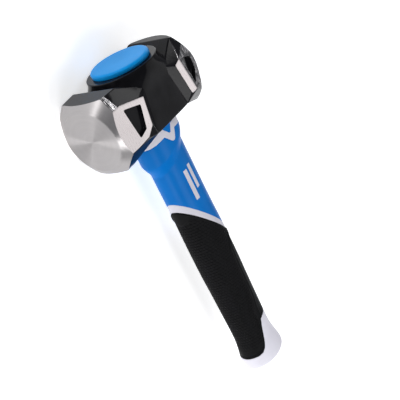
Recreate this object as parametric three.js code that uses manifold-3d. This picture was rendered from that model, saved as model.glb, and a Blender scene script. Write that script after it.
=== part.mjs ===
// Short-handled club hammer (4 lb class) lying on its cheek.
//
// Every piece is drawn about the crossing of the head's axis and the handle's axis:
//   +X runs down the handle to the butt, +Y runs along the head to its far face,
//   +Z is the normal of the cheek that faces up.
// The whole group is then moved so that the origin is the middle of the base of its box.
import * as THREE from 'three';
import { mergeVertices } from 'three/addons/utils/BufferGeometryUtils.js';
import { ConvexGeometry } from 'three/addons/geometries/ConvexGeometry.js';
import Module from 'manifold-3d';

const wasm = await Module();
wasm.setup();

// ---- driving dimensions, millimetres ----
const GAP = 0.3;              // clearance between touching pieces

const POLL_HALF = 27.5;       // half-width of a poll along X, and its crests' height along Z
const TOP_CORNER_X = -18;     // where the octagon's corner facets meet the cheek pads
const FOOT_CORNER_X = 14.6;
const TOP_CORNER_Z = 17.5;    // and where they meet the top and foot flats
const FOOT_CORNER_Z = 13.2;
const HEAD_HALF = 57;         // from the handle's axis to each striking face
const OCTAGON_START = 44;     // the full octagon runs from here to the face
const WINDOW_DEPTH = 2.5;     // recess in each bright cheek pad

const BODY_FOOT = 19;         // body between the polls reaches this far down the handle
const BODY_HALF_Z = 24;       // body between the polls, cheek to cheek
const BODY_HALF_Y = 28;

const BOSS_RY = 28;           // boss around the eye
const BOSS_RZ = 26.5;
const BOSS_TOP = -28;
const EYE_R = 11.6;           // mean radius of the oval eye at its waist
const EYE_FLARE = 1.4;

const CAP_R = 22.4;
const CAP_TOP = -32;
const SPIGOT_R = 10.6;
const SPIGOT_DEEP = 5;

const OVAL_Y = 1.1;           // the handle's oval: half-width along Y per mean radius
const OVAL_Z = 0.89;
const CORE_R = 8.5;
const CORE_END = 222;
const SHELL_INNER_R = 13.2;   // jacket where the band, grip and inlay lie over it
const COLLAR_R = 19.4;
const COLLAR_END = 41;        // on the handle's axis; the collar's lower edge leans
const COLLAR_LEAN = -0.52;
const NECK_R = 16;
const GRIP_R = 16.4;
const INLAY_END = 30;
const BAND_X = 101.5;         // band's upper edge on the handle's axis
const BAND_WIDTH = 6.2;
const BAND_LEAN = 1.21;       // the band leans towards the butt as Y grows
const TONGUE_TOP = 202;       // end cap's tongue up the far edge of the grip
const TONGUE_Y = 4;
const RIM_X = 226;            // end cap's band around the butt
const BUTT_X = 240;
const BUTT_FLARE = 1.6;       // the butt swells along Y

const SIDES = 40;

// ---- materials ----
const finish = (color, roughness, metalness = 0) =>
  new THREE.MeshStandardMaterial({ color, roughness, metalness });
const BLACK_ENAMEL = finish(0x1c1b20, 0.25, 0.3);
const BLUE_PLASTIC = finish(0x0070c8, 0.45);
const WHITE_PLASTIC = finish(0xe6e6ea, 0.5);
const BLACK_RUBBER = finish(0x161618, 0.8);
const EPOXY = finish(0xb9a36a, 0.4);
const GLASS_FIBRE = finish(0xc9c4a4, 0.6);

// ---- solid helpers ----
function solid(geometry) {
  const bare = geometry.index ? geometry.toNonIndexed() : geometry.clone();
  bare.deleteAttribute('normal');
  bare.deleteAttribute('uv');
  const merged = mergeVertices(bare, 1e-4);
  return new wasm.Manifold(new wasm.Mesh({
    numProp: 3,
    vertProperties: new Float32Array(merged.attributes.position.array),
    triVerts: new Uint32Array(merged.index.array),
  }));
}

function piece(name, shape, material) {
  const { vertProperties, triVerts } = shape.getMesh();
  const geometry = new THREE.BufferGeometry();
  geometry.setAttribute('position', new THREE.BufferAttribute(new Float32Array(vertProperties), 3));
  geometry.setIndex(new THREE.BufferAttribute(new Uint32Array(triVerts), 1));
  geometry.computeVertexNormals();
  const mesh = new THREE.Mesh(geometry, material);
  mesh.name = name;
  return mesh;
}

// A profile of [x, radius] pairs turned about X, then made oval.
function turned(profile, ovalY = 1, ovalZ = 1) {
  const points = profile.map(([x, radius]) => new THREE.Vector2(radius, x));
  const geometry = new THREE.LatheGeometry(points, SIDES);
  geometry.rotateZ(-Math.PI / 2);
  geometry.scale(1, ovalY, ovalZ);
  return geometry;
}

// A tube between two radii over a range of X, for pieces that ring the handle.
const ring = (x0, x1, inner, outer) =>
  solid(turned([[x0, inner], [x0, outer], [x1, outer], [x1, inner], [x0, inner]], OVAL_Y, OVAL_Z));

function box(x0, x1, y0, y1, z0, z1) {
  const geometry = new THREE.BoxGeometry(x1 - x0, y1 - y0, z1 - z0);
  geometry.translate((x0 + x1) / 2, (y0 + y1) / 2, (z0 + z1) / 2);
  return solid(geometry);
}

// A flat outline of [x, y] points raised from z0 to z1.
function plate(outline, z0, z1) {
  const shape = new THREE.Shape(outline.map(([x, y]) => new THREE.Vector2(x, y)));
  const geometry = new THREE.ExtrudeGeometry(shape, { depth: z1 - z0, bevelEnabled: false });
  geometry.translate(0, 0, z0);
  return solid(geometry);
}

// ---- head ----
// The two ends of the head, each drawn towards +Y. A cheek pad has a level strip between its
// inner edge and its crest, and falls away by tilt degrees from there to the face.
const ENDS = [
  {
    side: -1, faceR: 23, slope: 0.73, tilt: 5,
    inner: [[-11.5, 21.3], [8.4, 25.2]], crest: [[-13.3, 27], [13.7, 34]],
    window: [[-14.1, 43], [-9, 26.7], [7.3, 31.8], [9.9, 39.9]],
  },
  {
    side: 1, faceR: 14, slope: 1, tilt: 22,
    inner: [[-11.5, 21.3], [13.2, 25.3]], crest: [[-13.2, 27], [13.8, 31.5]],
    window: [[-12, 31.9], [10.5, 35], [3.5, 46.3], [-6, 49]],
  },
];

// Corners where a poll runs down to the body, on the +Y and +Z side: [x, y, z].
const SHOULDER_CORNERS = [
  [-POLL_HALF, 35, 20],              // inner end of the poll's top flat
  [-16, 13, BODY_HALF_Z],            // ledge where the shoulder meets the boss
  [18.5, 20, BODY_HALF_Z],           // foot of the slope from the pad to the centre cheek
  [BODY_FOOT, 27, 20],
];

// Height of an end's cheek pad beyond its crest.
function padHeight(end, x, y) {
  const [[x0, y0], [x1, y1]] = end.crest;
  const lean = (y1 - y0) / (x1 - x0);
  const beyondCrest = (y - y0 - lean * (x - x0)) / Math.hypot(1, lean);
  return POLL_HALF - beyondCrest * Math.tan(THREE.MathUtils.degToRad(end.tilt));
}

// The octagon's corners on the +Z side in the plane of one Y.
function octagon(end, y) {
  const top = padHeight(end, TOP_CORNER_X, y);
  const foot = padHeight(end, FOOT_CORNER_X, y);
  return [
    [TOP_CORNER_X, y, top], [-POLL_HALF, y, Math.min(TOP_CORNER_Z, top - 3)],
    [FOOT_CORNER_X, y, foot], [POLL_HALF, y, Math.min(FOOT_CORNER_Z, foot - 3)],
  ];
}

// One end of the head: octagon, shoulders, windows, and a turned bevel round the flat face.
function poll(end) {
  const corners = [...octagon(end, HEAD_HALF), ...octagon(end, OCTAGON_START), ...SHOULDER_CORNERS];
  for (const [x, y] of [...end.inner, ...end.crest]) corners.push([x, y, POLL_HALF]);
  const bothCheeks = corners.flatMap(([x, y, z]) => [new THREE.Vector3(x, y, z), new THREE.Vector3(x, y, -z)]);
  const reach = POLL_HALF * Math.SQRT2;
  const cone = new THREE.LatheGeometry([
    new THREE.Vector2(0, 0),
    new THREE.Vector2(reach, 0),
    new THREE.Vector2(reach, HEAD_HALF - (reach - end.faceR) * end.slope),
    new THREE.Vector2(end.faceR, HEAD_HALF),
    new THREE.Vector2(0, HEAD_HALF),
  ], 48);
  let shape = solid(new ConvexGeometry(bothCheeks)).intersect(solid(cone));
  const middle = (end.crest[0][1] + end.crest[1][1]) / 2;
  const cutter = plate(end.window.map(([x, y]) => [x, y - middle]), -WINDOW_DEPTH, 3)
    .rotate([-end.tilt, 0, 0]).translate([0, middle, POLL_HALF]);
  shape = shape.subtract(cutter).subtract(cutter.mirror([0, 0, 1]));
  return end.side < 0 ? shape.mirror([0, 1, 0]) : shape;
}

function head() {
  let shape = box(-16, BODY_FOOT, -BODY_HALF_Y, BODY_HALF_Y, -BODY_HALF_Z, BODY_HALF_Z);
  for (const end of ENDS) shape = shape.add(poll(end));
  const boss = turned([[BOSS_TOP, 0], [BOSS_TOP, 1], [-12, 1], [-12, 0]], BOSS_RY, BOSS_RZ);
  shape = shape.add(solid(boss));
  const eye = turned([
    [BOSS_TOP - 1, 0], [BOSS_TOP - 1, EYE_R + EYE_FLARE], [0, EYE_R],
    [BODY_FOOT + 1, EYE_R + EYE_FLARE / 2], [BODY_FOOT + 1, 0],
  ], OVAL_Y, OVAL_Z);
  return shape.subtract(solid(eye));
}

// ---- pieces in and on the head ----
function topCap() {
  const seat = BOSS_TOP - GAP;
  const disc = solid(turned([
    [CAP_TOP, 0], [CAP_TOP, CAP_R - 2.2], [CAP_TOP + 0.7, CAP_R - 0.7],
    [CAP_TOP + 1.8, CAP_R], [seat, CAP_R], [seat, 0],
  ]));
  const spigotEnd = BOSS_TOP + SPIGOT_DEEP;
  const spigot = solid(turned([[seat - 1, 0], [seat - 1, SPIGOT_R], [spigotEnd, SPIGOT_R], [spigotEnd, 0]],
    OVAL_Y, OVAL_Z));
  return disc.add(spigot);
}

const RESIN_TOP = BOSS_TOP + SPIGOT_DEEP + GAP;
function eyeResin() {
  const wall = (x) => EYE_R - GAP + EYE_FLARE * Math.max(0, x < 0 ? x / (BOSS_TOP - 1) : x / (BODY_FOOT + 1) / 2);
  const inner = CORE_R + GAP;
  return solid(turned([
    [RESIN_TOP, inner], [RESIN_TOP, wall(RESIN_TOP)], [0, wall(0)],
    [BODY_FOOT, wall(BODY_FOOT)], [BODY_FOOT, inner], [RESIN_TOP, inner],
  ], OVAL_Y, OVAL_Z));
}

function coreRod() {
  return solid(turned([[RESIN_TOP, 0], [RESIN_TOP, CORE_R], [CORE_END, CORE_R], [CORE_END, 0]], OVAL_Y, OVAL_Z));
}

// ---- handle ----
const HANDLE_TOP = BODY_FOOT + GAP;

// Leans a shape along X as Y grows, by a share that depends on X.
function leaning(geometry, leanAt) {
  const position = geometry.attributes.position;
  for (let i = 0; i < position.count; i++) {
    const x = position.getX(i);
    position.setX(i, x + leanAt(x) * position.getY(i));
  }
  return geometry;
}

// Full outside of the handle, before it is shared out between jacket, band, grip and end cap.
function handleOutside() {
  const geometry = turned([
    [HANDLE_TOP, 0], [HANDLE_TOP, COLLAR_R], [COLLAR_END - 6, COLLAR_R], [COLLAR_END + 3, NECK_R],
    [BAND_X - 15, NECK_R], [130, GRIP_R], [180, NECK_R - 0.4], [212, NECK_R - 0.4],
    [RIM_X + 4, GRIP_R + 1], [BUTT_X - 4, GRIP_R + 1.4], [BUTT_X - 1, GRIP_R - 0.5],
    [BUTT_X, GRIP_R - 4], [BUTT_X, 0],
  ], OVAL_Y, OVAL_Z);
  const inCollar = (x) => Math.abs(x - COLLAR_END) < 8;
  leaning(geometry, (x) => (inCollar(x) ? COLLAR_LEAN : 0));
  // The butt swells along Y.
  const position = geometry.attributes.position;
  for (let i = 0; i < position.count; i++) {
    const along = THREE.MathUtils.smoothstep(position.getX(i), 205, 232);
    position.setY(i, position.getY(i) * (1 + along * BUTT_FLARE / (GRIP_R * OVAL_Y)));
  }
  return solid(geometry);
}

// Everything on the butt side of the leaning plane that crosses the axis at x.
function beyond(x) {
  const reach = 40;
  const shape = [[x - BAND_LEAN * reach, -reach], [x + BAND_LEAN * reach, reach], [400, reach], [400, -reach]];
  return plate(shape, -reach, reach);
}

// The space of the end cap: a band round the butt and a tongue up its +Y edge.
const capSpace = (grow) => box(RIM_X - grow, 400, -60, 60, -60, 60)
  .add(box(TONGUE_TOP - grow, 400, TONGUE_Y - grow, 60, -60, 60));

const outside = handleOutside();
const underSleeve = solid(turned([[0, 0], [0, SHELL_INNER_R], [400, SHELL_INNER_R], [400, 0]], OVAL_Y, OVAL_Z));
const boreForCore = solid(turned([[0, 0], [0, CORE_R + GAP], [400, CORE_R + GAP], [400, 0]], OVAL_Y, OVAL_Z));
const sleeveBore = solid(turned([[0, 0], [0, SHELL_INNER_R + GAP], [400, SHELL_INNER_R + GAP], [400, 0]],
  OVAL_Y, OVAL_Z));

function handleShell() {
  const SHELL_END = CORE_END;
  const exposed = outside.subtract(beyond(BAND_X - GAP)).subtract(ring(0, INLAY_END + GAP, SHELL_INNER_R, 60));
  const under = outside.intersect(underSleeve).subtract(box(SHELL_END, 400, -60, 60, -60, 60));
  return exposed.add(under).subtract(boreForCore);
}

const collarInlay = () => outside.subtract(box(INLAY_END, 400, -60, 60, -60, 60)).subtract(sleeveBore);

const stripeBand = () =>
  outside.intersect(beyond(BAND_X)).subtract(beyond(BAND_X + BAND_WIDTH)).subtract(sleeveBore);

const gripSleeve = () => outside.intersect(beyond(BAND_X + BAND_WIDTH + GAP)).subtract(sleeveBore)
  .subtract(capSpace(GAP));

function endCap() {
  const shell = outside.intersect(capSpace(0));
  const tongueOnly = shell.subtract(sleeveBore);
  const plug = outside.intersect(underSleeve).intersect(box(CORE_END + GAP, RIM_X + 1, -60, 60, -60, 60));
  const rim = outside.intersect(box(RIM_X, 400, -60, 60, -60, 60));
  return rim.add(tongueOnly).add(plug);
}

// ---- assembly ----
const hammer = new THREE.Group();
hammer.add(
  piece('head', head(), BLACK_ENAMEL),
  piece('top_cap', topCap(), BLUE_PLASTIC),
  piece('eye_resin', eyeResin(), EPOXY),
  piece('core_rod', coreRod(), GLASS_FIBRE),
  piece('handle_shell', handleShell(), BLUE_PLASTIC),
  piece('collar_inlay', collarInlay(), WHITE_PLASTIC),
  piece('stripe_band', stripeBand(), WHITE_PLASTIC),
  piece('grip_sleeve', gripSleeve(), BLACK_RUBBER),
  piece('end_cap', endCap(), WHITE_PLASTIC),
);
hammer.position.set(-(CAP_TOP + BUTT_X) / 2, 0, POLL_HALF);

export default hammer;
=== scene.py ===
"""Looks of the short club hammer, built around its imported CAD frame.

Shapes are drawn in millimetres about the crossing of the head's axis and the handle's axis:
+X runs down the handle to the butt, +Y along the head to its far face, +Z is the upper cheek's normal.
place() turns them into metres in the row frame.
"""
import math
import bmesh
import bpy
import numpy as np
from mathutils import Matrix, Vector


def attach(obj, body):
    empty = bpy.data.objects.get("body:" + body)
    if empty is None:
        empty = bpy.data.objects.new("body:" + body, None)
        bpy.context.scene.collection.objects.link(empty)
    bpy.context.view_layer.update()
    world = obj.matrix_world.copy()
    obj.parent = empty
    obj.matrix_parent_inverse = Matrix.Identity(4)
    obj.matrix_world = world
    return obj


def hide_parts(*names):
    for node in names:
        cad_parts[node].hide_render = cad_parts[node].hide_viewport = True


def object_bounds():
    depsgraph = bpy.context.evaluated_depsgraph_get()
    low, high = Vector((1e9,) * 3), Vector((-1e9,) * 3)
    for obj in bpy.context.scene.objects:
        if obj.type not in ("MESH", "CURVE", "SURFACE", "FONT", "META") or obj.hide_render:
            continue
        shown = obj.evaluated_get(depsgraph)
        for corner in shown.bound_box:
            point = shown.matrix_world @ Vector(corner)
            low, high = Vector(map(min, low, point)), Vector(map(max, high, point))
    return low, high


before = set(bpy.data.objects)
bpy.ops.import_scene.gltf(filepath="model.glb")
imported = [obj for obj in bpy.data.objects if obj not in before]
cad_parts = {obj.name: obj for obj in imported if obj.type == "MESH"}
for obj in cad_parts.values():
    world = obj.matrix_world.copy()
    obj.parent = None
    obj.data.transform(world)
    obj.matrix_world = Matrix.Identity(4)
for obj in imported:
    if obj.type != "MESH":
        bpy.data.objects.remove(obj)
cad_low, cad_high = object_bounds()

# ---- dimensions, millimetres ----
CAP_TOP = -32.0
CAP_R = 22.4
BOSS_TOP = -28.0

HEAD_HALF = 57.0
POLL_HALF = 27.5
TOP_CORNER_X = -18.0
FOOT_CORNER_X = 14.6
TOP_CORNER_Z = 17.5
FOOT_CORNER_Z = 13.2
OCTAGON_START = 44.0
BODY_FOOT = 19.0
BODY_HALF_Z = 24.0
BODY_HALF_Y = 28.0
BOSS_RZ = 26.5
EDGE_ROUND = 0.7          # ground-off edges of the forging
WINDOW_DEPTH = 2.5
WINDOW_ROUND = 1.3
CORNER_INSET = 1.3        # how much further than its sides an outline's corner moves in
BRIGHT_SPAN = 12.8        # the corner facet's extent in X
SHOULDER = [(-27.5, 35, 20), (-16, 13, 24), (18.5, 20, 24), (19, 27, 20)]
# The two ends of the head, each drawn towards +Y. A cheek pad has a level strip between its inner
# edge and its crest, and falls away by tilt degrees from there to the face. bright is where the
# corner facet's steel shows, as (y at x = -27.5, y at x = -14.7).
NEAR_END = {
    "side": -1, "face_r": 23.0, "slope": 0.73, "tilt": 5.0,
    "inner": [(-11.5, 21.3), (8.4, 25.2)], "crest": [(-13.3, 27), (13.7, 34)],
    "window": [(-14.1, 43), (-9, 26.7), (7.3, 31.8), (9.9, 39.9)], "bright": (45.8, 45.8),
}
FAR_END = {
    "side": 1, "face_r": 14.0, "slope": 1.0, "tilt": 22.0,
    "inner": [(-11.5, 21.3), (13.2, 25.3)], "crest": [(-13.2, 27), (13.8, 31.5)],
    "window": [(-12, 31.9), (10.5, 35), (3.5, 46.3), (-6, 49)], "bright": (36.0, 27.5),
}
EYE_R = 11.9

OVAL_Y = 1.1
OVAL_Z = 0.89
HANDLE_TOP = 19.1
SLEEVE_BORE = 13.5
BUTT_X = 240.0
BUTT_START = 231.0        # the butt's dome begins here
COLUMNS = 288             # round the handle

ROW_X = cad_low.x * 1000 - CAP_TOP
ROW_Z = (cad_low.z + cad_high.z) * 500


def place(points):
    """Millimetres about the head to metres in the row frame."""
    moved = np.asarray(points, float) + (ROW_X, 0, ROW_Z)
    return moved / 1000


# ---- mesh helpers ----
def raw_mesh(name, points, faces):
    mesh = bpy.data.meshes.new(name)
    mesh.from_pydata([tuple(p) for p in points], [], [tuple(f) for f in faces])
    mesh.update()
    return mesh


def scratch(points, faces):
    """A working object in millimetres, for modifiers. It is removed once its result is taken."""
    made = bpy.data.objects.new("scratch", raw_mesh("scratch", points, faces))
    bpy.context.scene.collection.objects.link(made)
    return made


def applied(obj):
    """Replaces the object's mesh by what its modifiers make of it."""
    graph = bpy.context.evaluated_depsgraph_get()
    mesh = bpy.data.meshes.new_from_object(obj.evaluated_get(graph))
    obj.modifiers.clear()
    obj.data = mesh
    return obj


def combine(obj, other, operation):
    """Boolean of two working objects; the second one is used up."""
    step = obj.modifiers.new("combine", "BOOLEAN")
    step.operation = operation
    step.solver = "EXACT"
    step.object = other
    applied(obj)
    bpy.data.objects.remove(other)
    return obj


def rounded(obj, width, segments, angle):
    step = obj.modifiers.new("round", "BEVEL")
    step.width = width
    step.segments = segments
    step.limit_method = "ANGLE"
    step.angle_limit = math.radians(angle)
    return applied(obj)


def finish_piece(name, mesh, materials, replaces, sharp=38):
    """Links a finished mesh, in millimetres, as a piece of the hammer."""
    for material in materials:
        mesh.materials.append(material)
    count = len(mesh.vertices)
    flat = np.empty(count * 3)
    mesh.vertices.foreach_get("co", flat)
    mesh.vertices.foreach_set("co", place(flat.reshape(-1, 3)).ravel())
    mesh.update()
    mesh.shade_smooth()
    mesh.set_sharp_from_angle(angle=math.radians(sharp))
    piece = bpy.data.objects.new(name, mesh)
    bpy.context.scene.collection.objects.link(piece)
    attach(piece, "root")
    if replaces:
        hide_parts(replaces)
    return piece


def lathe(profile, axis, steps, stretch=(1, 1)):
    """Closed solid turned from (along, radius) pairs that start and end at radius 0.

    axis is 0 for X and 1 for Y.
    """
    points = []
    for along, radius in profile[1:-1]:
        for k in range(steps):
            turn = 2 * math.pi * k / steps
            ring = (radius * math.sin(turn) * stretch[0], radius * math.cos(turn) * stretch[1])
            points.append((along, *ring) if axis == 0 else (ring[1], along, ring[0]))
    rings = len(profile) - 2
    faces = []
    for i in range(rings - 1):
        for k in range(steps):
            n = (k + 1) % steps
            faces.append((i * steps + k, i * steps + n, (i + 1) * steps + n, (i + 1) * steps + k))
    for row, along, flip in ((0, profile[0][0], True), (rings - 1, profile[-1][0], False)):
        hub = len(points)
        points.append((along, 0, 0) if axis == 0 else (0, along, 0))
        for k in range(steps):
            pair = (row * steps + k, row * steps + (k + 1) % steps)
            faces.append((*pair[::-1], hub) if flip else (*pair, hub))
    return points, faces


def loft(rings):
    """Closed solid through rings of equally many points, capped flat at both ends."""
    count = len(rings[0])
    points = [tuple(p) for ring in rings for p in ring]
    faces = []
    for i in range(len(rings) - 1):
        for k in range(count):
            n = (k + 1) % count
            faces.append((i * count + k, i * count + n, (i + 1) * count + n, (i + 1) * count + k))
    faces.append(tuple(reversed(range(count))))
    faces.append(tuple(range((len(rings) - 1) * count, len(rings) * count)))
    return points, faces


def outward(obj):
    work = bmesh.new()
    work.from_mesh(obj.data)
    bmesh.ops.recalc_face_normals(work, faces=work.faces)
    work.to_mesh(obj.data)
    work.free()
    return obj


# ---- material helpers ----
class Maker:
    """Builds one node material around a Principled shader."""

    def __init__(self, name, color, roughness, metallic=0.0, **sockets):
        self.material = bpy.data.materials.new(name)
        self.material.use_nodes = True
        self.tree = self.material.node_tree
        self.shader = self.tree.nodes["Principled BSDF"]
        self.set(self.shader, {"Base Color": (*color, 1), "Roughness": roughness, "Metallic": metallic})
        self.set(self.shader, sockets)
        self.place = self.tree.nodes.new("ShaderNodeTexCoord").outputs["Object"]

    @staticmethod
    def set(node, values):
        for key, value in values.items():
            node.inputs[key].default_value = value

    def node(self, kind, links=None, values=None, **attributes):
        made = self.tree.nodes.new("ShaderNode" + kind)
        for key, value in attributes.items():
            setattr(made, key, value)
        self.set(made, values or {})
        for key, source in (links or {}).items():
            self.tree.links.new(source, made.inputs[key])
        return made

    def wire(self, source, socket):
        self.tree.links.new(source, self.shader.inputs[socket])

    def scaled(self, x, y, z, shift=(0, 0, 0)):
        """Object coordinates in metres, moved and then stretched by (x, y, z)."""
        moved = self.node("VectorMath", {0: self.place}, {1: shift}, operation="SUBTRACT")
        stretched = self.node("VectorMath", {0: moved.outputs[0]}, {1: (x, y, z)}, operation="MULTIPLY")
        return stretched.outputs[0]

    def noise(self, where, scale, detail=2.0, roughness=0.5):
        return self.node("TexNoise", {"Vector": where},
                         {"Scale": scale, "Detail": detail, "Roughness": roughness}).outputs["Fac"]

    def math(self, operation, first, second=0.0, third=0.0, clamp=False):
        """A Math node; each operand is a number or a socket."""
        made = self.tree.nodes.new("ShaderNodeMath")
        made.operation = operation
        made.use_clamp = clamp
        for k, value in enumerate((first, second, third)):
            if isinstance(value, (int, float)):
                made.inputs[k].default_value = value
            else:
                self.tree.links.new(value, made.inputs[k])
        return made.outputs[0]

    def spread(self, source, low, high, to_low, to_high):
        limits = {"From Min": low, "From Max": high, "To Min": to_low, "To Max": to_high}
        return self.node("MapRange", {"Value": source}, limits).outputs[0]

    def blend(self, factor, first, second):
        """Mix of two colours, each a tuple or a socket."""
        made = self.node("Mix", {"Factor": factor}, data_type="RGBA")
        for key, value in ((6, first), (7, second)):
            if isinstance(value, tuple):
                made.inputs[key].default_value = (*value, 1)
            else:
                self.tree.links.new(value, made.inputs[key])
        return made.outputs[2]

    def bump(self, height, distance, strength=1.0):
        made = self.node("Bump", {"Height": height}, {"Strength": strength, "Distance": distance})
        self.wire(made.outputs[0], "Normal")

    def separate(self, vector):
        return self.node("SeparateXYZ", {0: vector}).outputs


HEAD_CENTRE = (ROW_X / 1000, 0, ROW_Z / 1000)


def radius_from_head_axis(m):
    """Distance from the head's axis and place along it, in metres, as sockets."""
    centred = m.node("VectorMath", {0: m.place}, {1: HEAD_CENTRE}, operation="SUBTRACT").outputs[0]
    x, y, z = m.separate(centred)
    square = m.math("MULTIPLY", x, x)
    square = m.math("MULTIPLY_ADD", z, z, square)
    return m.math("SQRT", square), y


def turned_steel():
    # The quarter turn lays the highlights across the turning marks.
    m = Maker("turned_steel", (0.42, 0.40, 0.40), 0.42, 1.0,
              **{"Anisotropic": 0.9, "Anisotropic Rotation": 0.25})
    radius = radius_from_head_axis(m)[0]
    rings = m.node("CombineXYZ", {"X": m.math("MULTIPLY", radius, 1000.0)})
    fine = m.noise(rings.outputs[0], 2.6, 6.0, 0.75)
    broad = m.noise(rings.outputs[0], 0.35, 1.0)
    tone = m.blend(m.spread(fine, 0.3, 0.7, 0, 1), (0.36, 0.345, 0.345), (0.47, 0.45, 0.45))
    tone = m.blend(m.spread(broad, 0.35, 0.65, 0, 0.22), tone, (0.33, 0.315, 0.315))
    m.wire(tone, "Base Color")
    m.wire(m.spread(fine, 0.3, 0.7, 0.36, 0.46), "Roughness")
    tangent = m.node("Tangent", direction_type="RADIAL", axis="Y")
    m.wire(tangent.outputs[0], "Tangent")
    m.bump(fine, 0.00002, 0.6)
    return m.material


def ground_steel():
    m = Maker("ground_steel", (0.82, 0.75, 0.74), 0.3, 1.0, Anisotropic=0.4)
    brushed = m.noise(m.scaled(200, 2600, 2600), 1.0, 4.0, 0.65)
    cloud = m.noise(m.place, 60.0, 3.0)
    tone = m.blend(m.spread(brushed, 0.3, 0.7, 0, 1), (0.72, 0.655, 0.65), (0.88, 0.82, 0.81))
    tone = m.blend(m.spread(cloud, 0.35, 0.7, 0, 0.3), tone, (0.68, 0.62, 0.62))
    m.wire(tone, "Base Color")
    m.wire(m.spread(brushed, 0.3, 0.7, 0.24, 0.36), "Roughness")
    m.bump(brushed, 0.00002, 0.5)
    return m.material


def mirror_steel():
    m = Maker("mirror_steel", (0.6, 0.58, 0.58), 0.1, 1.0)
    radius, y = radius_from_head_axis(m)
    reach = m.math("ABSOLUTE", y)
    # How far the point lies behind the turned bevel, in millimetres.
    behind = m.math("SUBTRACT", HEAD_HALF / 1000, reach)
    over = m.math("SUBTRACT", radius, NEAR_END["face_r"] / 1000)
    behind = m.math("MULTIPLY_ADD", over, -NEAR_END["slope"], behind)
    behind = m.math("MULTIPLY", behind, 1000.0)
    # On the near end, two bands beside the turned bevel are painted near black. They are drawn as enamel,
    # and they also stand in for a small chamfer's dark reflection at the bevel's edge, a painted
    # reflection.
    outer = m.math("LESS_THAN", behind, 0.55)
    line = m.math("MULTIPLY", m.math("GREATER_THAN", behind, 1.15), m.math("LESS_THAN", behind, 1.75))
    dark = m.math("MULTIPLY", m.math("MAXIMUM", outer, line), m.math("LESS_THAN", y, 0.0))
    mottle = m.noise(m.scaled(900, 1500, 900), 0.35, 5.0, 0.7)
    tone = m.blend(m.spread(mottle, 0.35, 0.65, 0, 1), (0.34, 0.33, 0.34), (0.82, 0.80, 0.80))
    m.wire(m.blend(dark, tone, (0.01, 0.01, 0.012)), "Base Color")
    m.wire(m.spread(mottle, 0.3, 0.7, 0.06, 0.22), "Roughness")
    m.bump(mottle, 0.00025, 0.6)
    return m.material


def shaded_ground_steel():
    """Ground steel darkened as painted shade on the far end's sloping pads, where they would reflect a dark
    surrounding; lighter blotches break it up.
    """
    m = Maker("shaded_ground_steel", (0.2, 0.19, 0.2), 0.2, 1.0)
    patches = m.noise(m.place, 230.0, 4.0, 0.6)
    tone = m.blend(m.spread(patches, 0.44, 0.6, 0, 1), (0.03, 0.03, 0.034), (0.38, 0.36, 0.37))
    m.wire(tone, "Base Color")
    m.wire(m.spread(patches, 0.3, 0.7, 0.16, 0.3), "Roughness")
    m.bump(patches, 0.00015, 0.5)
    return m.material


def black_enamel():
    m = Maker("black_enamel", (0.011, 0.011, 0.013), 0.2, 0.0,
              **{"Specular IOR Level": 0.08, "Coat Weight": 0.03, "Coat Roughness": 0.06})
    peel = m.noise(m.place, 900.0, 2.0)
    cloud = m.noise(m.place, 90.0, 3.0)
    tone = m.blend(m.spread(cloud, 0.35, 0.65, 0, 1), (0.0045, 0.0045, 0.0055), (0.009, 0.0088, 0.0105))
    m.wire(tone, "Base Color")
    m.wire(m.spread(cloud, 0.3, 0.7, 0.08, 0.16), "Roughness")
    m.bump(peel, 0.00006, 0.35)
    return m.material


def plastic(name, low, high, roughness, grain):
    """Moulded plastic: faint cloudiness and a fine spark-eroded grain."""
    m = Maker(name, high, roughness, 0.0, **{"Specular IOR Level": 0.08})
    cloud = m.noise(m.place, 45.0, 3.0)
    fine = m.noise(m.place, 2600.0, 2.0)
    m.wire(m.blend(m.spread(cloud, 0.35, 0.65, 0, 1), low, high), "Base Color")
    m.wire(m.spread(fine, 0.3, 0.7, roughness - 0.05, roughness + 0.06), "Roughness")
    m.bump(fine, 0.00003, grain)
    return m.material


def rubber():
    m = Maker("grip_rubber", (0.006, 0.006, 0.007), 0.5, 0.0, **{"Specular IOR Level": 0.09})
    fine = m.noise(m.place, 2200.0, 3.0)
    scuff = m.noise(m.scaled(0.35, 1, 1), 160.0, 4.0, 0.6)
    tone = m.blend(m.spread(scuff, 0.4, 0.75, 0, 1), (0.002, 0.002, 0.0025), (0.0065, 0.0065, 0.0075))
    m.wire(tone, "Base Color")
    m.wire(m.spread(scuff, 0.35, 0.7, 0.48, 0.68), "Roughness")
    m.bump(fine, 0.00006, 0.5)
    return m.material


def cast_resin():
    m = Maker("cast_resin", (0.45, 0.33, 0.12), 0.35)
    cloud = m.noise(m.place, 140.0, 4.0)
    m.wire(m.blend(m.spread(cloud, 0.3, 0.7, 0, 1), (0.36, 0.25, 0.08), (0.55, 0.42, 0.18)), "Base Color")
    m.bump(cloud, 0.0002, 0.4)
    return m.material


def glass_fibre():
    m = Maker("glass_fibre", (0.55, 0.52, 0.38), 0.5)
    strands = m.noise(m.scaled(8, 1600, 1600), 1.0, 3.0)
    m.wire(m.blend(m.spread(strands, 0.3, 0.7, 0, 1), (0.42, 0.39, 0.26), (0.68, 0.66, 0.52)), "Base Color")
    m.bump(strands, 0.0001, 0.5)
    return m.material


TURNED = turned_steel()
GROUND = ground_steel()
MIRROR = mirror_steel()
# Ground steel darkened as painted shade, for the far end's tilted pads.
SHADED_GROUND = shaded_ground_steel()
ENAMEL = black_enamel()
BLUE = plastic("blue_jacket", (0.0, 0.150, 0.52), (0.0, 0.170, 0.57), 0.36, 0.35)
CAP_BLUE = plastic("blue_cap", (0.0, 0.26, 0.68), (0.003, 0.29, 0.74), 0.36, 0.3)
# A lighter copy of the white plastic, as painted light on the butt's end cap where it faces the light.
LIT_BUTT_WHITE = plastic("white_butt_painted_light", (0.77, 0.755, 0.83), (0.82, 0.805, 0.88), 0.45, 0.3)
WHITE = plastic("white_plastic", (0.66, 0.645, 0.71), (0.72, 0.705, 0.77), 0.45, 0.3)
RUBBER = rubber()


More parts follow.
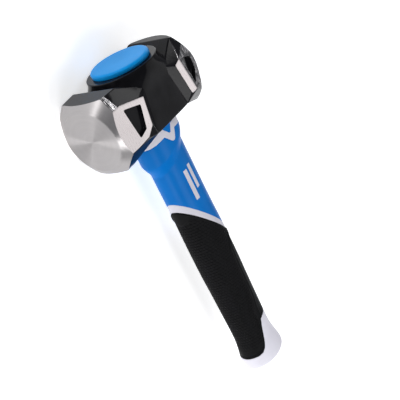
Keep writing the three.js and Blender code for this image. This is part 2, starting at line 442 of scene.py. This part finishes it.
# ---- head ----
def pad_height(end, x, y):
    """Height of an end's cheek pad, level up to its crest."""
    (x0, y0), (x1, y1) = end["crest"]
    lean = (y1 - y0) / (x1 - x0)
    beyond = (y - y0 - lean * (x - x0)) / math.hypot(1, lean)
    return POLL_HALF - beyond * math.tan(math.radians(end["tilt"]))


def octagon(end, y):
    """The octagon's corners on the +Z side."""
    top = pad_height(end, TOP_CORNER_X, y)
    foot = pad_height(end, FOOT_CORNER_X, y)
    return [(TOP_CORNER_X, y, top), (-POLL_HALF, y, min(TOP_CORNER_Z, top - 3)),
            (FOOT_CORNER_X, y, foot), (POLL_HALF, y, min(FOOT_CORNER_Z, foot - 3))]


def hull(points):
    """Convex hull with its flat faces whole."""
    work = bmesh.new()
    for p in points:
        work.verts.new(p)
    result = bmesh.ops.convex_hull(work, input=work.verts, use_existing_faces=False)
    spare = result["geom_interior"] + result["geom_unused"]
    inside = {g for g in spare if isinstance(g, bmesh.types.BMVert)}
    bmesh.ops.delete(work, geom=list(inside), context="VERTS")
    bmesh.ops.dissolve_limit(work, angle_limit=math.radians(1), verts=work.verts, edges=work.edges)
    bmesh.ops.recalc_face_normals(work, faces=work.faces)
    mesh = bpy.data.meshes.new("hull")
    work.to_mesh(mesh)
    work.free()
    made = bpy.data.objects.new("hull", mesh)
    bpy.context.scene.collection.objects.link(made)
    return made


def poll(end):
    """One end of the head, drawn towards +Y."""
    corners = octagon(end, HEAD_HALF + 3) + octagon(end, OCTAGON_START) + SHOULDER
    corners += [(x, y, POLL_HALF) for x, y in end["inner"] + end["crest"]]
    corners += [(x, y, -z) for x, y, z in corners]
    made = rounded(hull(corners), EDGE_ROUND, 3, 12)
    reach = POLL_HALF * math.sqrt(2)
    face_r, slope = end["face_r"], end["slope"]
    profile = [
        (0, 0), (0, reach), (HEAD_HALF - (reach - face_r) * slope, reach),
        (HEAD_HALF - slope * 0.6, face_r + 0.6), (HEAD_HALF - 0.18, face_r + 0.22),
        (HEAD_HALF - 0.22, face_r), (HEAD_HALF - 0.05, face_r - 0.25),
        (HEAD_HALF, face_r - 0.6), (HEAD_HALF, 0),
    ]
    made = combine(made, outward(scratch(*lathe(profile, 1, 192))), "INTERSECT")
    for up in (-1, 1):
        made = combine(made, window_cutter(end, up), "DIFFERENCE")
    if end["side"] < 0:
        made.data.transform(Matrix.Scale(-1, 4, (0, 1, 0)))
        made.data.flip_normals()
    return made


def rounded_outline(corners, radius, inset):
    """Points round a polygon with arcs at its corners, moved inwards by inset."""
    ring = []
    count = len(corners)
    middle = np.mean(corners, axis=0)
    shrunk = []
    for corner in corners:
        inwards = middle - corner
        shrunk.append(np.asarray(corner, float) + inwards * inset / np.linalg.norm(inwards) * CORNER_INSET)
    for k in range(count):
        here = shrunk[k]
        back = shrunk[k - 1] - here
        ahead = shrunk[(k + 1) % count] - here
        back /= np.linalg.norm(back)
        ahead /= np.linalg.norm(ahead)
        half = math.acos(float(np.clip(back @ ahead, -1, 1))) / 2
        reach = radius / math.tan(half)
        start = here + back * reach
        end = here + ahead * reach
        for step in range(7):
            t = step / 6
            ring.append((1 - t) ** 2 * start + 2 * t * (1 - t) * here + t ** 2 * end)
    return ring


def window_cutter(end, up):
    """Recess with a soft floor edge, square to the tilted pad."""
    middle = (end["crest"][0][1] + end["crest"][1][1]) / 2
    tilt = math.radians(end["tilt"])
    rings = []
    steps = [(WINDOW_DEPTH, 1.1), (WINDOW_DEPTH - 0.2, 0.55), (WINDOW_DEPTH - 0.7, 0.3)]
    steps += [(0.35, 0.1), (0.0, -0.15), (-2.5, -0.15)]
    for depth, inset in steps:
        ring = []
        for x, y in rounded_outline(end["window"], WINDOW_ROUND, inset):
            out = y - middle
            ring.append((x, middle + out * math.cos(tilt) - depth * math.sin(tilt),
                         up * (POLL_HALF - out * math.sin(tilt) - depth * math.cos(tilt))))
        rings.append(ring)
    return outward(scratch(*loft(rings)))


def ease(value, low, high):
    t = np.clip((value - low) / (high - low), 0, 1)
    return t * t * (3 - 2 * t)


def body():
    """The boss round the eye, flattening into the centre cheeks."""
    stations = [(BOSS_TOP, 0.75), (BOSS_TOP + 0.12, 0.4), (BOSS_TOP + 0.4, 0.12), (BOSS_TOP + 0.8, 0.0)]
    stations += [(x, 0.0) for x in np.linspace(-26, 16, 22)]
    stations += [(BODY_FOOT - 1.1, 0.0), (BODY_FOOT - 0.5, 0.15)]
    stations += [(BODY_FOOT - 0.15, 0.5), (BODY_FOOT, 0.95)]
    rings = []
    for x, inset in stations:
        flat = float(ease(x, -26, -4))
        half_z = BOSS_RZ + (BODY_HALF_Z - BOSS_RZ) * float(ease(x, -24, -6)) - inset
        half_y = BODY_HALF_Y - inset
        power = 2 / (2 + 4.5 * flat)
        ring = []
        for k in range(160):
            turn = 2 * math.pi * k / 160
            s, c = math.sin(turn), math.cos(turn)
            y = half_y * math.copysign(abs(s) ** power, s)
            ring.append((x, y, half_z * math.copysign(abs(c) ** power, c)))
        rings.append(ring)
    return outward(scratch(*loft(rings)))


HEAD_FINISHES = [ENAMEL, TURNED, GROUND, MIRROR, SHADED_GROUND]
ENAMEL_SLOT, TURNED_SLOT, GROUND_SLOT, MIRROR_SLOT, SHADED_GROUND_SLOT = range(5)


def head_material(face):
    """Which of enamel, turned, ground, polished steel and the ground steel darkened as painted shade a face
    of the head shows.
    """
    centre = face.calc_center_median()
    end = NEAR_END if centre.y < 0 else FAR_END
    x, y, z = centre.x, abs(centre.y), abs(centre.z)
    normal = Vector((face.normal.x, abs(face.normal.y), abs(face.normal.z)))
    radius = math.hypot(x, z)
    cone = HEAD_HALF - max(0.0, radius - end["face_r"]) * end["slope"]
    if abs(y - cone) < 0.35 and normal.y > 0.5:
        return TURNED_SLOT
    if y > 20 and min(POLL_HALF, pad_height(end, x, y)) - z < 0.12 and normal.z > 0.9:
        # Pad faces tilted towards the face take the ground steel darkened as painted shade.
        return SHADED_GROUND_SLOT if normal.y > 0.3 else GROUND_SLOT
    outer, inner = end["bright"]
    bright = outer + (inner - outer) * (x + POLL_HALF) / BRIGHT_SPAN
    if y > bright and normal.x < -0.35 and normal.z > 0.35 and x < -14 and radius > 24:
        return MIRROR_SLOT
    return ENAMEL_SLOT


def head():
    made = body()
    for end in (NEAR_END, FAR_END):
        made = combine(made, poll(end), "UNION")
    eye = [(BOSS_TOP - 2, 0), (BOSS_TOP - 2, EYE_R), (BODY_FOOT + 2, EYE_R), (BODY_FOOT + 2, 0)]
    made = combine(made, outward(scratch(*lathe(eye, 0, 96, (OVAL_Y, OVAL_Z)))), "DIFFERENCE")
    mesh = made.data
    work = bmesh.new()
    work.from_mesh(mesh)
    bmesh.ops.remove_doubles(work, verts=work.verts, dist=0.004)
    bmesh.ops.dissolve_degenerate(work, edges=work.edges, dist=0.004)
    for end in (NEAR_END, FAR_END):
        side = end["side"]
        outer, inner = end["bright"]
        corner = [f for f in work.faces
                  if f.normal.x < -0.35 and abs(f.normal.z) > 0.35 and side * f.calc_center_median().y > 20]
        edges = {e for f in corner for e in f.edges}
        verts = {v for f in corner for v in f.verts}
        bmesh.ops.bisect_plane(work, geom=list(verts) + list(edges) + corner, dist=1e-5,
                               plane_co=(-POLL_HALF, side * outer, 0),
                               plane_no=((outer - inner) / BRIGHT_SPAN, side, 0))
    for face in work.faces:
        face.material_index = head_material(face)
    work.to_mesh(mesh)
    work.free()
    bpy.data.objects.remove(made)
    piece = finish_piece("forged_head", mesh, HEAD_FINISHES, "head", 28)
    mesh.use_auto_texspace = False
    mesh.texspace_location = HEAD_CENTRE
    mesh.texspace_size = (0.06, 0.06, 0.06)
    weighted = piece.modifiers.new("weighted", "WEIGHTED_NORMAL")
    weighted.keep_sharp = True
    weighted.weight = 70
    return piece


# ---- cap over the eye ----
def top_cap():
    seat = BOSS_TOP - 0.04
    spigot_end = BOSS_TOP + 4.9
    profile = [(CAP_TOP + 0.22, 0), (CAP_TOP + 0.2, 6), (CAP_TOP + 0.12, 12), (CAP_TOP + 0.03, 17),
               (CAP_TOP, 19.4)]
    for k in range(1, 10):
        turn = math.pi / 2 * k / 9
        profile.append((CAP_TOP + 1.7 * (1 - math.cos(turn)), 19.9 + 2.5 * math.sin(turn)))
    profile += [(CAP_TOP + 2.6, CAP_R), (seat - 0.5, CAP_R - 0.05), (seat - 0.12, CAP_R - 0.2)]
    profile += [(seat, CAP_R - 0.6), (seat, 11.0), (spigot_end, 10.5), (spigot_end, 0)]
    points, faces = lathe(profile, 0, 160)
    points = [(x, y, z) if x < BOSS_TOP else (x, y * OVAL_Y, z * OVAL_Z) for x, y, z in points]
    obj = outward(scratch(points, faces))
    mesh = obj.data
    bpy.data.objects.remove(obj)
    return finish_piece("eye_cap", mesh, [CAP_BLUE], "top_cap", 50)


# ---- handle surface ----
TURNS = np.linspace(-math.pi, math.pi, COLUMNS, endpoint=False)
# Angle from the near edge (-90 deg) over either cheek to the far edge (+90 deg).
LEAN = np.degrees(np.arctan2(np.sin(TURNS), np.abs(np.cos(TURNS))))

# Mean radius below the collar, as (x, radius).
RADIUS = [(60, 15.9), (98, 16.0), (108, 16.25), (130, 16.5), (150, 16.4), (165, 16.0),
          (187, 15.6), (205, 15.35), (215, 15.45), (223, 16.2), (231, 17.3), (240, 17.8)]
COLLAR_R = 19.4
COLLAR_END = 62.0
BUTT_SWELL = 0.0887       # share by which the butt widens along Y
DOME_POWER = 2.7
EDGE_ROWS = np.array([0.0, 0.12, 0.3, 0.6, 1.0])     # rows beside an edge, in mm from it


def curve(knots, x):
    """Smooth curve through (x, value) knots."""
    xs = np.array([k[0] for k in knots], float)
    values = np.array([k[1] for k in knots], float)
    gaps = np.diff(values) / np.diff(xs)
    between = np.where(gaps[:-1] * gaps[1:] > 0, (gaps[:-1] + gaps[1:]) / 2, 0)
    slopes = np.concatenate(([0], between, [gaps[-1]]))
    x = np.clip(x, xs[0], xs[-1])
    i = np.clip(np.searchsorted(xs, x) - 1, 0, len(xs) - 2)
    h = xs[i + 1] - xs[i]
    t = (x - xs[i]) / h
    return ((2 * t ** 3 - 3 * t ** 2 + 1) * values[i] + (t ** 3 - 2 * t ** 2 + t) * h * slopes[i]
            + (3 * t ** 2 - 2 * t ** 3) * values[i + 1] + (t ** 3 - t ** 2) * h * slopes[i + 1])


def handle_radius(x, lean):
    """Mean radius of the handle's outside at x and at the angle lean, in degrees."""
    body_r = curve(RADIUS, x)
    crease = 41 - 9.7 * np.sin(np.radians(lean))
    t = np.clip((x - crease + 4) / 9.5, 0, 1)
    fall = 0.55 * t + 0.45 * t * t * (3 - 2 * t)
    collar = COLLAR_R + (body_r - COLLAR_R) * fall
    radius = np.where(x < COLLAR_END, collar, body_r)
    dome = np.clip((x - BUTT_START) / (BUTT_X - BUTT_START), 0, 1)
    return radius * (1 - dome ** DOME_POWER) ** (1 / DOME_POWER)


def on_handle(x, turns, radius):
    """Points of the oval handle; the butt swells along Y."""
    swell = 1 + BUTT_SWELL * ease(x, 205, 232)
    return np.stack([x, radius * OVAL_Y * swell * np.sin(turns), radius * OVAL_Z * np.cos(turns)], axis=-1)


def shell_grid(low, high, step, inner, detail=None, seam=0.35):
    """Closed ring of the handle between two edges, each an x for every column.

    Returns points and quads. The outside eases down by seam at each edge, which leaves a fine groove.
    """
    length = float(np.max(high - low))
    rows = max(6, int(length / step))
    span = (high - low)[None, :]
    middle = np.linspace(0, 1, rows)[1:-1, None]
    near = EDGE_ROWS[:, None] / span
    body_rows = near[-1] + (1 - 2 * near[-1]) * middle
    share = np.vstack([near, body_rows, 1 - near[::-1]])
    x = low[None, :] + share * span
    lean = np.broadcast_to(LEAN, x.shape)
    turns = np.broadcast_to(TURNS, x.shape)
    radius = handle_radius(x, lean)
    edge = np.minimum(x - low, high - x)
    radius = radius - seam * (1 - np.clip(edge / 0.8, 0, 1)) ** 2
    if detail is not None:
        radius = radius + detail(x, lean)
    outside = on_handle(x, turns, radius)
    top = on_handle(low, TURNS, np.full(COLUMNS, inner))
    foot = on_handle(high, TURNS, np.full(COLUMNS, inner))
    rings = np.concatenate([outside, foot[None], top[None]])
    count = len(rings)
    faces = []
    for i in range(count):
        j = (i + 1) % count
        for k in range(COLUMNS):
            n = (k + 1) % COLUMNS
            faces.append((i * COLUMNS + k, i * COLUMNS + n, j * COLUMNS + n, j * COLUMNS + k))
    return rings.reshape(-1, 3), faces


def joined(*parts):
    points, faces = [], []
    for part_points, part_faces in parts:
        shift = len(points)
        points.extend(part_points)
        faces.extend(tuple(i + shift for i in face) for face in part_faces)
    return points, faces


def handle_piece(name, points, faces, material, replaces, slot, sharp=40):
    obj = outward(scratch(points, faces))
    mesh = obj.data
    bpy.data.objects.remove(obj)
    return finish_piece(name, mesh, [material], replaces, sharp)


def along_lean(knots):
    """An edge given as (angle, x) knots, for every column."""
    return np.interp(LEAN, [k[0] for k in knots], [k[1] for k in knots])


SEAM = 0.03
INLAY_TOP = along_lean([(-90, 22.5), (-21, 22.5), (-9, 28.0), (-5, 28.0), (4, 22.5), (90, 22.5)])
INLAY_FOOT = along_lean([(-90, 31.2), (-63, 31.2), (-45, 30.3), (-24, 28.4), (-11, 34.0), (-8, 34.7),
                         (-4, 34.7), (-1, 34.0), (10, 27.4), (31, 28.4), (90, 28.4)])
STRIPE_TOP = 101.5 + 21.5 * np.sin(np.radians(LEAN))
STRIPE_FOOT = 107.7 + 20.8 * np.sin(np.radians(LEAN))
CAP_EDGE = along_lean([(-90, 226.4), (-48, 226.4), (-36, 225.6), (-26, 223.0), (-17, 217.5), (-9, 210.0),
                       (-3, 204.5), (3, 201.8), (12, 201.0), (90, 200.5)])


def jacket():
    start = np.full(COLUMNS, HANDLE_TOP)
    upper = shell_grid(start, INLAY_TOP - SEAM, 0.8, SLEEVE_BORE, seam=0.12)
    lower = shell_grid(INLAY_FOOT + SEAM, STRIPE_TOP - SEAM, 0.9, SLEEVE_BORE, seam=0.12)
    return handle_piece("handle_jacket", *joined(upper, lower), BLUE, "handle_shell", "blue_plastic")


def inlay():
    points, faces = shell_grid(INLAY_TOP + SEAM, INLAY_FOOT - SEAM, 0.7, SLEEVE_BORE, seam=0.1)
    return handle_piece("collar_band", points, faces, WHITE, "collar_inlay", "white_plastic")


def stripe():
    points, faces = shell_grid(STRIPE_TOP + SEAM, STRIPE_FOOT - SEAM, 0.6, SLEEVE_BORE, seam=0.1)
    return handle_piece("slanted_stripe", points, faces, WHITE, "stripe_band", "white_plastic")


# ---- grip ----
HEX_PITCH = 2.7
HEX_DEPTH = 0.42
# The textured panel's edge, as (x, angle).
PANEL_EDGE = [(104, 75), (118, 62), (126, 38), (133, 17), (141, 10), (162, 7),
              (181, 5.5), (190, -2), (206, -3), (226, -6)]
GRIP_R = 16.3             # turns an angle round the grip into an arc


def hexagons(u, v):
    """Distance from the middle of the hexagon that holds (u, v), 0 to 1 at its edge."""
    pitch = np.array([HEX_PITCH, HEX_PITCH * math.sqrt(3)])
    best = None
    for shift in ((0, 0), (0.5, 0.5)):
        du = u / pitch[0] - shift[0]
        dv = v / pitch[1] - shift[1]
        du = (du - np.round(du)) * pitch[0]
        dv = (dv - np.round(dv)) * pitch[1]
        far = np.maximum(np.abs(du), np.abs(du) / 2 + np.abs(dv) * math.sqrt(3) / 2) / (HEX_PITCH / 2)
        best = far if best is None else np.minimum(best, far)
    return best


def grip_relief(x, lean):
    """Height of the grip's surface above the plain handle."""
    arc = GRIP_R * np.radians(lean)
    edge_angle = curve(PANEL_EDGE, x)
    to_edge = GRIP_R * np.radians(lean - edge_angle)
    top = STRIPE_FOOT[None, :]
    # The smooth collar of the grip ends in a step that runs up into the stripe over the cheek.
    step = np.maximum(top + 1.2, 98.5 - 0.10 * np.clip(lean + 90, 0, 60))
    below = x - step
    in_panel = ease(-to_edge, 0.9, 1.8) * ease(below, 0.8, 2.0) * (1 - ease(x, 214, 224))
    grooves = -HEX_DEPTH * ease(hexagons(arc, x), 0.62, 0.98)
    ridge = 0.55 * np.exp(-(to_edge / 0.75) ** 2) + 0.4 * np.exp(-((to_edge - 3.1) / 0.7) ** 2)
    ridge *= ease(x, 108, 124) * (1 - ease(x, 196, 222))
    lip = 0.2 * (1 - ease(x - top, 3.0, 9.0))
    shoulder = 0.5 * (1 - ease(below, -0.5, 0.7)) * (1 - ease(lean, -40, -24))
    seam_groove = -0.35 * np.exp(-((CAP_EDGE[None, :] - x - 2.6) / 0.45) ** 2)
    return in_panel * grooves + ridge + lip + shoulder + seam_groove


def grip():
    points, faces = shell_grid(STRIPE_FOOT + SEAM, CAP_EDGE - SEAM, 0.4, SLEEVE_BORE, grip_relief, seam=0.5)
    return handle_piece("rubber_grip", points, faces, RUBBER, "grip_sleeve", "grip_rubber", 60)


CAP_SEAT = 222.4          # inner floor of the end cap


def butt():
    """End cap: a tongue up the far edge and a dome over the butt."""
    low = CAP_EDGE + SEAM
    span = BUTT_X - low
    near = EDGE_ROWS[:, None] / span
    # The rows crowd towards the dome's pole.
    rest = np.sin(np.linspace(0, math.pi / 2, 44))[1:-1, None]
    share = np.vstack([near, near[-1] + (0.99995 - near[-1]) * rest])
    x = low[None, :] + share * span
    lean = np.broadcast_to(LEAN, x.shape)
    turns = np.broadcast_to(TURNS, x.shape)
    radius = handle_radius(x, lean)
    radius = radius - 0.2 * (1 - np.clip((x - low) / 0.8, 0, 1)) ** 2
    outside = on_handle(x, turns, radius)
    inner_top = on_handle(low, TURNS, np.full(COLUMNS, SLEEVE_BORE))
    seat = on_handle(np.maximum(low, CAP_SEAT), TURNS, np.full(COLUMNS, SLEEVE_BORE - 0.4))
    rings = np.concatenate([seat[None], inner_top[None], outside])
    points, faces = loft(rings)
    faces = faces[:-2]
    for row, flip, along in ((0, True, CAP_SEAT), (len(rings) - 1, False, BUTT_X)):
        hub = len(points)
        points.append((along, 0, 0))
        for k in range(COLUMNS):
            pair = (row * COLUMNS + k, row * COLUMNS + (k + 1) % COLUMNS)
            faces.append((*pair[::-1], hub) if flip else (*pair, hub))
    # The end cap takes the lighter white, which is painted light.
    return handle_piece("butt_cap", points, faces, LIT_BUTT_WHITE, "end_cap", "white_plastic", 50)


PRINT_LIFT = 0.03
PRINT_THICKNESS = 0.05
PRINTED = [(58, 78, 3.0, 14.0), (60, 85, -16.0, -4.0)]     # start, end and the two edges in degrees


def printed_bars():
    """Plain printed bars on the neck, in place of any lettering."""
    points, faces = [], []
    rows, columns = 24, 8
    per_side = rows * columns
    for start, end, low, high in PRINTED:
        base = len(points)
        for height in (PRINT_LIFT, PRINT_LIFT + PRINT_THICKNESS):
            for x in np.linspace(start, end, rows):
                for angle in np.linspace(low, high, columns):
                    radius = handle_radius(np.array(x), np.array(angle)) + height
                    points.append(on_handle(np.array(x), np.array(math.radians(angle)), radius))
        for i in range(rows - 1):
            for k in range(columns - 1):
                a = base + i * columns + k
                quad = (a, a + 1, a + columns + 1, a + columns)
                faces.append(quad)
                faces.append(tuple(q + per_side for q in reversed(quad)))
        rim = [i * columns for i in range(rows)] + [(rows - 1) * columns + k for k in range(1, columns)]
        rim += [i * columns + columns - 1 for i in range(rows - 2, -1, -1)]
        rim += list(range(columns - 2, 0, -1))
        for here, ahead in zip(rim, rim[1:] + rim[:1]):
            faces.append((base + here, base + ahead, base + per_side + ahead, base + per_side + here))
    obj = outward(scratch(points, faces))
    mesh = obj.data
    bpy.data.objects.remove(obj)
    return finish_piece("neck_print", mesh, [WHITE], None, 30)


head()
top_cap()
jacket()
inlay()
stripe()
grip()
butt()
printed_bars()

for node, material in (("eye_resin", cast_resin()), ("core_rod", glass_fibre())):
    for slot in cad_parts[node].material_slots:
        slot.material = material


# ---- floor, light and camera ----
FLOOR_RADIUS = 1.6        # metres
FLOOR_SIDES = 96
FLOOR_Z = -0.0002
LIGHT_TARGET = (0, 0, 0.02)


def floor():
    turns = np.linspace(0, 2 * math.pi, FLOOR_SIDES + 1)[:-1]
    ring = [(FLOOR_RADIUS * math.cos(t), FLOOR_RADIUS * math.sin(t), FLOOR_Z) for t in turns]
    made = bpy.data.objects.new("floor", raw_mesh("floor", ring, [range(FLOOR_SIDES)]))
    bpy.context.scene.collection.objects.link(made)
    m = Maker("pale_floor", (0.9, 0.9, 0.9), 0.7)
    tone = m.noise(m.place, 3.0, 1.0)
    m.wire(m.blend(m.spread(tone, 0.3, 0.7, 0, 1), (0.88, 0.88, 0.885), (0.92, 0.92, 0.92)), "Base Color")
    m.set(m.shader, {"Emission Color": (1, 1, 1, 1), "Emission Strength": 0.6})
    made.data.materials.append(m.material)


def softbox(name, at, size, power):
    light = bpy.data.lights.new(name, "AREA")
    light.shape = "RECTANGLE"
    light.size, light.size_y = size
    light.energy = power
    made = bpy.data.objects.new(name, light)
    made.location = at
    made.rotation_mode = "QUATERNION"
    made.rotation_quaternion = (Vector(at) - Vector(LIGHT_TARGET)).to_track_quat("Z", "Y")
    bpy.context.scene.collection.objects.link(made)


floor()
softbox("overhead", (0.62, -0.3, 1.34), (0.6, 0.6), 8)
softbox("behind", (0.62, 1.0, 1.12), (1.5, 1.1), 4.4)
softbox("corner", (-0.75, 0.97, 0.87), (0.5, 0.4), 3)
softbox("front_right", (0.68, -1.2, 0.53), (0.6, 0.5), 8)
softbox("left_low", (-1.3, -0.62, 0.12), (0.22, 0.3), 6)

world = bpy.data.worlds.new("studio")
world.use_nodes = True
background = world.node_tree.nodes["Background"]
background.inputs["Color"].default_value = (0.9, 0.93, 1.0, 1)
background.inputs["Strength"].default_value = 0.22
bpy.context.scene.world = world
bpy.context.scene.view_settings.view_transform = "Standard"

camera_data = bpy.data.cameras.new("camera")
camera_data.sensor_width = 36
camera_data.lens = 103.4
camera = bpy.data.objects.new("camera", camera_data)
right = Vector((0.4004, 0.5021, 0.7665))
up = Vector((-0.8173, 0.5740, 0.0509))
back = Vector((-0.4145, -0.6468, 0.6402))
turn = Matrix((right, up, back)).transposed()
stand = Matrix.Translation((-0.3659, -0.5465, 0.580))
camera.matrix_world = stand @ turn.to_4x4()
bpy.context.scene.collection.objects.link(camera)
bpy.context.scene.camera = camera
